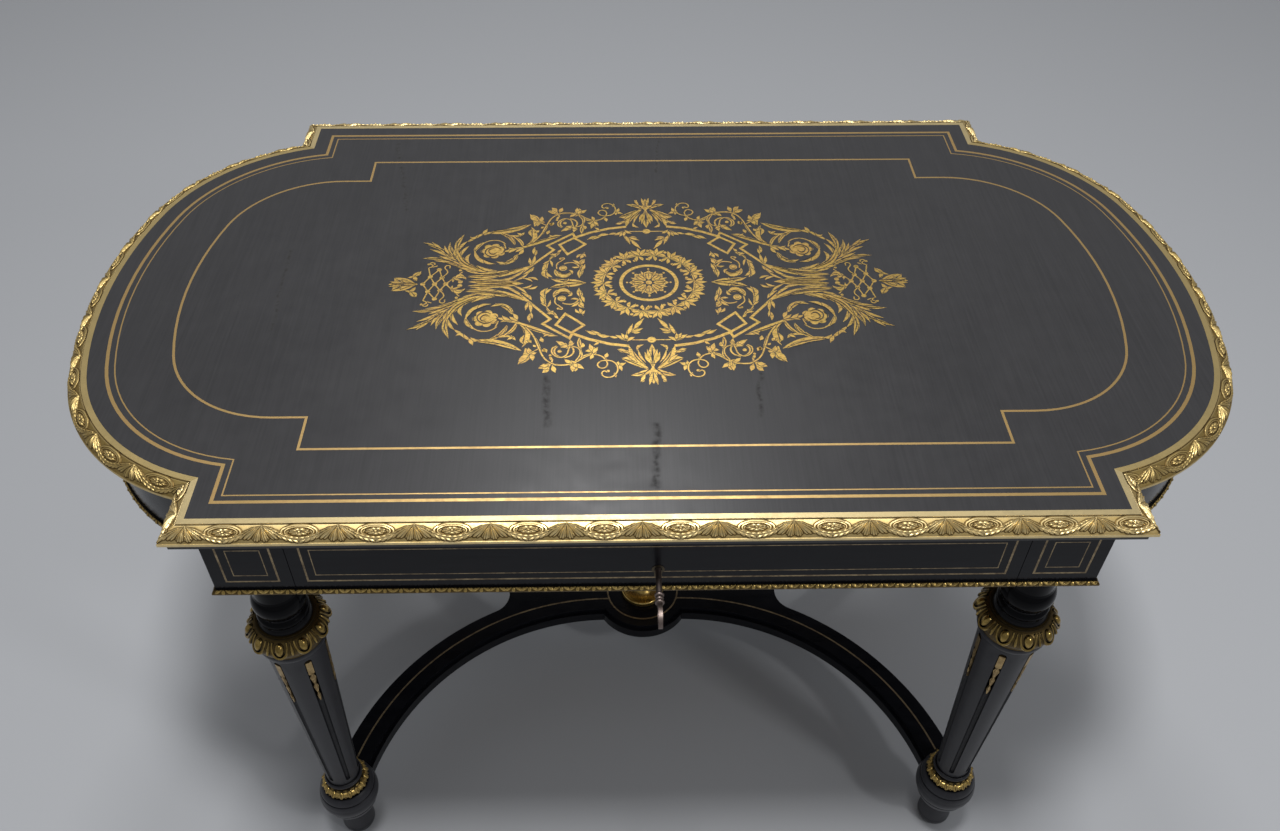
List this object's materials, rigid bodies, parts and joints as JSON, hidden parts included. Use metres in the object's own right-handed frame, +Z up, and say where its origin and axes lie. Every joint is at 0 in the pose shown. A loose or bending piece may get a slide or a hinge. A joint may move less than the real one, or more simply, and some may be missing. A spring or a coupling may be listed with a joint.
{
  "type": "centre table",
  "caption": "Ebonised centre table with rounded ends, brass marquetry, gilt edge, frieze drawer with lock and key, fluted tapering legs and a curved cross stretcher with an urn",
  "frame": {"origin": "on the floor, midway along the length, and midway between the back edge and the tip of the key", "axes": "X along the length, Z up, the drawer opens towards -Y"},
  "size_m": [1.398, 0.8636, 0.76],
  "materials": {
    "ebonised": "black polish",
    "gilt": "gilt",
    "brass_inlay": "polished",
    "oak": "plain",
    "steel": "worn"
  },
  "bodies": {
    "table": {"table_top": "ebonised", "back_rail": "ebonised", "end_rail_left": "ebonised", "end_rail_right": "ebonised", "stretcher_hub": "ebonised", "corner_block_front_left": "ebonised", "leg_front_left": "ebonised", "foot_front_left": "ebonised", "stretcher_arm_front_left": "ebonised", "corner_block_front_right": "ebonised", "leg_front_right": "ebonised", "foot_front_right": "ebonised", "stretcher_arm_front_right": "ebonised", "corner_block_back_left": "ebonised", "leg_back_left": "ebonised", "foot_back_left": "ebonised", "stretcher_arm_back_left": "ebonised", "corner_block_back_right": "ebonised", "leg_back_right": "ebonised", "foot_back_right": "ebonised", "stretcher_arm_back_right": "ebonised", "edge_mount_front": "gilt", "edge_mount_back": "gilt", "edge_mount_left": "gilt", "edge_mount_right": "gilt", "edge_mount_returns": "gilt", "frieze_mount_corners": "gilt", "frieze_mount_rails": "gilt", "flute_fillets": "gilt", "urn_body": "gilt", "urn_lid": "gilt", "upper_collar_front_left": "gilt", "lower_collar_front_left": "gilt", "upper_collar_front_right": "gilt", "lower_collar_front_right": "gilt", "upper_collar_back_left": "gilt", "lower_collar_back_left": "gilt", "upper_collar_back_right": "gilt", "lower_collar_back_right": "gilt", "top_stringing": "brass_inlay", "centre_marquetry": "brass_inlay", "frieze_stringing": "brass_inlay", "stretcher_stringing": "brass_inlay", "front_bearer_rail": "oak", "front_top_rail": "oak", "drawer_runners": "oak", "drawer_kickers": "oak", "top_screws": "steel", "strike_plate": "steel"},
    "drawer": {"drawer_front": "ebonised", "drawer_side_left": "oak", "drawer_side_right": "oak", "drawer_back": "oak", "drawer_bottom": "oak", "drawer_stringing": "brass_inlay", "drawer_mount": "gilt", "escutcheon": "brass_inlay", "lock_case": "steel"},
    "lock_bolt": {"lock_bolt": "steel"},
    "key": {"key": "steel"}
  },
  "joints": [
    {"name": "drawer_slide", "type": "slide", "parent": "table", "child": "drawer", "axis": [0, -1, 0], "range_m": [0, 0.4]},
    {"name": "key_turn", "type": "hinge", "parent": "drawer", "child": "key", "pos_m": [0, -0.3568, 0.668], "axis": [0, 1, 0], "range_deg": [0, 360]},
    {"name": "bolt_throw", "type": "slide", "parent": "drawer", "child": "lock_bolt", "axis": [0, 0, 1], "range_m": [0, 0.008]}
  ],
  "couplings": [
    {"joint": "key_turn", "follows": "bolt_throw", "rad_per_m": 785.39}
  ]
}
